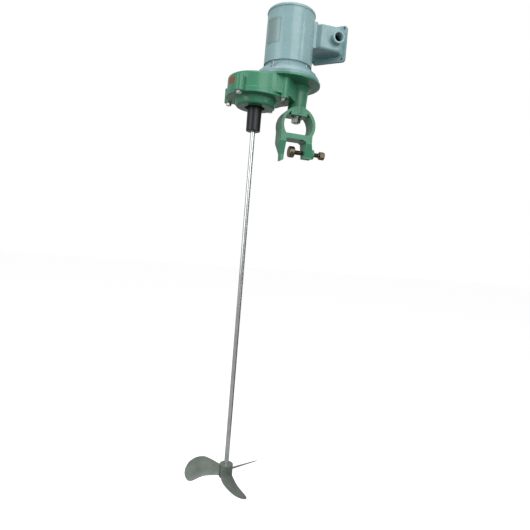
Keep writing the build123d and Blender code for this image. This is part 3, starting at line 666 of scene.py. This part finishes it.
class DressShaft(bpy.types.Operator):
    """Turn the long shaft again in many even sections"""

    bl_idname = "agitator.dress_shaft"
    bl_label = "Shaft"

    def execute(self, context):
        low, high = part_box("agitator_shaft")
        radius, length = (high.x - low.x) / 2, high.z - low.z
        plain = length - 2 * SHAFT_CHAMFER
        rows = [(radius - SHAFT_CHAMFER, 0), (radius, SHAFT_CHAMFER)]
        rows += [(radius, SHAFT_CHAMFER + plain * step / SHAFT_SECTIONS)
                 for step in range(1, SHAFT_SECTIONS)]
        rows += [(radius, length - SHAFT_CHAMFER), (radius - SHAFT_CHAMFER, length)]
        mesh = bmesh.new()
        skin(mesh, rows, Matrix.Translation((low.x + radius, low.y + radius, low.z)), steps=40)
        make_piece(mesh, "shaft_skin", MATERIALS["shaft_stainless"], "output",
                   ["agitator_shaft"])
        return {"FINISHED"}


class DressConduitEntry(bpy.types.Operator):
    """Cut the pipe thread inside the conduit entry"""

    bl_idname = "agitator.dress_conduit_entry"
    bl_label = "Conduit entry"

    def execute(self, context):
        mount = next(m for m in frame["record"]["mounts"] if m["name"] == "conduit_entry")
        point, axis = Vector(mount["pos_m"]), Vector(mount["axis"])
        radius, length = mount["dims"]["r_mm"] * MM, mount["dims"]["length_mm"] * MM
        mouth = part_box("terminal_box")[0].y
        mesh = bmesh.new()
        thread(mesh, place_at((point.x, mouth + length - 0.5 * MM, point.z), axis), radius - G34_DEPTH,
               G34_PITCH, length - 1.5 * MM, G34_DEPTH, steps=40, inward=True)
        make_piece(mesh, "conduit_thread", MATERIALS["motor_paint"], "head")
        return {"FINISHED"}


class DressPlates(bpy.types.Operator):
    """Bend the bare rating plate onto the motor and the bare sticker onto the gear case"""

    bl_idname = "agitator.dress_plates"
    bl_label = "Bare plates"

    def execute(self, context):
        detail = settings()[2]
        plate = Finish("Rating plate", 0.36, 0.3)
        brushed = plate.noise(1, 2, 0.5, plate.stretched((40, 40, 1300)))
        plate.colour(plate.mixed(plate.ramp(brushed, 0.3, 0.7),
                                 (0.255, 0.375, 0.375), (0.315, 0.44, 0.44)))
        plate.normal(plate.bump(plate.noise(160, 4), 0.06 * MM, 0.5))
        sticker = Finish("Bare sticker", 0.42)
        sticker.colour(sticker.mixed(sticker.ramp(sticker.noise(160, 5, 0.7), 0.5, 0.7),
                                     (0.36, 0.075, 0.030), (0.28, 0.15, 0.075)))
        sticker.normal(sticker.bump(sticker.noise(240, 3), 0.05 * MM, 0.4))

        shell_height = SHELL_HIGH.z - SHELL_LOW.z
        radius = size("motor_shell").x / 2 - 0.6 * MM
        middle = SHELL_LOW.z + shell_height * 0.56
        mesh = bmesh.new()
        bent_plate(mesh, MOTOR_AXIS, radius, detail.plate_angle, middle, detail.plate_width,
                   detail.plate_height, 3 * MM, 0.9 * MM)
        for across in (-1, 1):
            for up in (-1, 1):
                angle = detail.plate_angle + across * (detail.plate_width / 2 - 3 * MM) / radius
                outward = Vector((cos(angle), sin(angle), 0))
                point = Vector((*MOTOR_AXIS, middle + up * (detail.plate_height / 2 - 3 * MM)))
                round_head(mesh, place_at(point + outward * (radius + 0.8 * MM), outward),
                           1.5 * MM, 0.7 * MM, 0.3)
        make_piece(mesh, "rating_plate", plate.material, "head")

        mesh = bmesh.new()
        bent_plate(mesh, OUTPUT_AXIS, DRUM_RADIUS, detail.sticker_angle, CASE_HIGH.z - 25 * MM,
                   30 * MM, 15 * MM, 1.5 * MM, 0.25 * MM, rim=0)
        make_piece(mesh, "bare_sticker", sticker.material, "head")
        return {"FINISHED"}


def sign(value):
    """The sign of a value."""
    return 1 if value > 0 else -1


def bent_plate(mesh, axis, radius, angle, middle, width, height, corner, thickness, rim=1.6 * MM):
    """A rounded plate bent round a vertical axis, with a raised rim if it has one."""
    def outline(inset):
        reach_x, reach_z, rounding = width / 2 - inset, height / 2 - inset, max(0.3 * MM, corner - inset)
        for quarter in range(4):
            diagonal = pi / 4 + quarter * pi / 2
            for step in range(7):
                turn = pi / 2 * (quarter + step / 6)
                yield (sign(cos(diagonal)) * (reach_x - rounding) + rounding * cos(turn),
                       sign(sin(diagonal)) * (reach_z - rounding) + rounding * sin(turn))

    def bent(x, z, lift):
        turn = angle + x / radius
        reach = radius + lift
        return Vector((axis.x + reach * cos(turn), axis.y + reach * sin(turn), middle + z))

    levels = [(0, -0.2 * MM), (0, thickness)]
    if rim:
        levels += [(rim, thickness), (rim * 1.25, thickness * 0.55)]
    rings = []
    for inset, lift in levels:
        rings.append([mesh.verts.new((x, lift, z)) for x, z in outline(inset)])
    for lower, upper in zip(rings, rings[1:]):
        for step in range(len(lower)):
            following = (step + 1) % len(lower)
            mesh.faces.new((lower[step], lower[following], upper[following], upper[step]))
    mesh.faces.new(rings[-1])
    for cut in range(-7, 8):
        bmesh.ops.bisect_plane(mesh, geom=mesh.verts[:] + mesh.edges[:] + mesh.faces[:],
                               plane_co=(cut * width / 16, 0, 0), plane_no=(1, 0, 0))
    for vertex in mesh.verts:
        x, lift, z = vertex.co
        vertex.co = bent(x, z, lift)


class SetStage(bpy.types.Operator):
    """Lay the pale floor, light it softly and aim the camera"""

    bl_idname = "agitator.set_stage"
    bl_label = "Stage"

    def execute(self, context):
        stage = settings()[3]
        floor_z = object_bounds()[0].z - stage.floor_gap
        mesh = bmesh.new()
        bmesh.ops.create_grid(mesh, x_segments=1, y_segments=1, size=14)
        bmesh.ops.translate(mesh, verts=mesh.verts, vec=(0, 0, floor_z))
        data = bpy.data.meshes.new("floor")
        mesh.to_mesh(data)
        mesh.free()
        floor = bpy.data.objects.new("floor", data)
        bpy.context.scene.collection.objects.link(floor)
        data.materials.append(pale_floor())
        floor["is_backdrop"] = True
        card = dark_card(Vector((0.55, -0.25, -0.35)), Vector((-0.116, 0, -0.35)), 0.6, 1.6)
        card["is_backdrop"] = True

        target = Vector((-0.05, 0, 0.05))
        area_lamp("key", Vector((0.25, -1.7, 0.75)), target, 1.1, 1.5, stage.key_power)
        area_lamp("fill", Vector((-1.8, -0.7, 0.35)), target, 1.0, 1.6, stage.fill_power)
        area_lamp("strip", Vector((1.1, -1.1, 0.2)), target, 0.12, 1.6, stage.strip_power)
        area_lamp("top", Vector((-0.1, -0.2, 1.7)), target, 1.2, 1.2, stage.top_power)
        room_light(stage.world)
        aim_camera(stage.lens)
        context.scene.view_settings.view_transform = "Standard"
        return {"FINISHED"}


def pale_floor():
    """A near white floor that keeps the object's shadow."""
    material = bpy.data.materials.new("Pale floor")
    material.use_nodes = True
    nodes, links = material.node_tree.nodes, material.node_tree.links
    shader = nodes["Principled BSDF"]
    shader.inputs["Roughness"].default_value = 0.9
    path = nodes.new("ShaderNodeLightPath")
    tone = nodes.new("ShaderNodeMix")
    tone.data_type = "RGBA"
    tone.inputs["A"].default_value = (0.10, 0.10, 0.10, 1)
    tone.inputs["B"].default_value = (0.86, 0.86, 0.855, 1)
    links.new(path.outputs["Is Camera Ray"], tone.inputs["Factor"])
    links.new(tone.outputs["Result"], shader.inputs["Base Color"])
    glow = nodes.new("ShaderNodeEmission")
    glow.inputs["Color"].default_value = (1, 1, 1, 1)
    mirrored = nodes.new("ShaderNodeMath")
    mirrored.operation = "MULTIPLY"
    mirrored.inputs[1].default_value = 0.35
    links.new(path.outputs["Is Glossy Ray"], mirrored.inputs[0])
    lifted = nodes.new("ShaderNodeMath")
    lifted.operation = "MULTIPLY_ADD"
    lifted.inputs[1].default_value = 0.55
    links.new(path.outputs["Is Camera Ray"], lifted.inputs[0])
    links.new(mirrored.outputs["Value"], lifted.inputs[2])
    links.new(lifted.outputs["Value"], glow.inputs["Strength"])
    both = nodes.new("ShaderNodeAddShader")
    links.new(shader.outputs["BSDF"], both.inputs[0])
    links.new(glow.outputs["Emission"], both.inputs[1])
    links.new(both.outputs["Shader"], nodes["Material Output"].inputs["Surface"])
    return material


def aimed(point, target, axis):
    """A placing at a point, with one of its axes towards a target."""
    return Matrix.Translation(point) @ (target - point).to_track_quat(axis, "Y").to_matrix().to_4x4()


def dark_card(point, target, width, height):
    """A dark card beside the object, which only shiny metal shows."""
    mesh = bmesh.new()
    bmesh.ops.create_grid(mesh, x_segments=1, y_segments=1, size=0.5)
    bmesh.ops.scale(mesh, verts=mesh.verts, vec=(width, height, 1))
    data = bpy.data.meshes.new("dark_card")
    mesh.to_mesh(data)
    mesh.free()
    card = bpy.data.objects.new("dark_card", data)
    bpy.context.scene.collection.objects.link(card)
    card.matrix_world = aimed(point, target, "Z")
    finish = Finish("Dark card", 0.9)
    finish.shader.inputs["Base Color"].default_value = (0.01, 0.012, 0.012, 1)
    data.materials.append(finish.material)
    card.visible_camera = False
    card.visible_shadow = False
    card.visible_diffuse = False
    return card


def area_lamp(name, point, target, width, height, power):
    """A rectangular lamp aimed at a point."""
    lamp = bpy.data.lights.new(name, "AREA")
    lamp.shape = "RECTANGLE"
    lamp.size, lamp.size_y = width, height
    lamp.energy = power
    holder = bpy.data.objects.new(name, lamp)
    bpy.context.scene.collection.objects.link(holder)
    holder.matrix_world = aimed(point, target, "-Z")
    return holder


def room_light(strength):
    """A white background, and an even room light for the object."""
    world = bpy.data.worlds.new("Room")
    bpy.context.scene.world = world
    world.use_nodes = True
    nodes, links = world.node_tree.nodes, world.node_tree.links
    room = nodes["Background"]
    room.inputs["Color"].default_value = (1, 1, 1, 1)
    room.inputs["Strength"].default_value = strength
    white = nodes.new("ShaderNodeBackground")
    white.inputs["Color"].default_value = (1, 1, 1, 1)
    white.inputs["Strength"].default_value = 1.0
    path = nodes.new("ShaderNodeLightPath")
    mix = nodes.new("ShaderNodeMixShader")
    links.new(path.outputs["Is Camera Ray"], mix.inputs["Fac"])
    links.new(room.outputs["Background"], mix.inputs[1])
    links.new(white.outputs["Background"], mix.inputs[2])
    links.new(mix.outputs["Shader"], nodes["World Output"].inputs["Surface"])


def aim_camera(lens):
    """A camera that stands low in front of the clamp and leans a little."""
    camera = bpy.data.cameras.new("camera")
    camera.lens = lens
    camera.sensor_width = 36
    camera.clip_start, camera.clip_end = 0.05, 60
    holder = bpy.data.objects.new("camera", camera)
    bpy.context.scene.collection.objects.link(holder)
    heading, pitch, roll = radians(17), -0.043, 0.082
    level_right = Vector((cos(heading), -sin(heading), 0))
    forward = Vector((sin(heading) * cos(pitch), cos(heading) * cos(pitch), sin(pitch)))
    level_up = level_right.cross(forward)
    right = level_right * cos(roll) + level_up * sin(roll)
    up = level_up * cos(roll) - level_right * sin(roll)
    turn = Matrix((right, up, -forward)).transposed().to_4x4()
    holder.matrix_world = Matrix.Translation(Vector((-0.4164, -1.1879, -0.285))) @ turn
    bpy.context.scene.camera = holder


OPERATORS = (PaintFrame, DressClampScrew, DressBolts, DressSmallScrews, DressShaft, DressConduitEntry,
             DressPlates, SetStage)
GROUPS = (("agitator_paint", AgitatorPaint), ("agitator_metal", AgitatorMetal),
          ("agitator_detail", AgitatorDetail), ("agitator_stage", AgitatorStage))


class AgitatorPanel(bpy.types.Panel):
    """Lists the agitator's settings and steps"""

    bl_idname = "VIEW3D_PT_agitator"
    bl_label = "Tank agitator"
    bl_space_type = "VIEW_3D"
    bl_region_type = "UI"
    bl_category = "Agitator"

    def draw(self, context):
        for operator in OPERATORS:
            self.layout.operator(operator.bl_idname)
        for name, group in GROUPS:
            box = self.layout.box()
            for key in group.__annotations__:
                box.prop(getattr(context.scene, name), key)


def register():
    """Make the settings, operators and panel known to Blender."""
    for name, group in GROUPS:
        bpy.utils.register_class(group)
        setattr(bpy.types.Scene, name, bpy.props.PointerProperty(type=group))
    for operator in OPERATORS:
        bpy.utils.register_class(operator)
    bpy.utils.register_class(AgitatorPanel)


def unregister():
    """Take them away again."""
    bpy.utils.unregister_class(AgitatorPanel)
    for operator in reversed(OPERATORS):
        bpy.utils.unregister_class(operator)
    for name, group in reversed(GROUPS):
        delattr(bpy.types.Scene, name)
        bpy.utils.unregister_class(group)


def main():
    """Dress the frame and set the stage."""
    register()
    for operator in OPERATORS:
        group, name = operator.bl_idname.split(".")
        getattr(getattr(bpy.ops, group), name)()


if __name__ == "__main__":
    main()
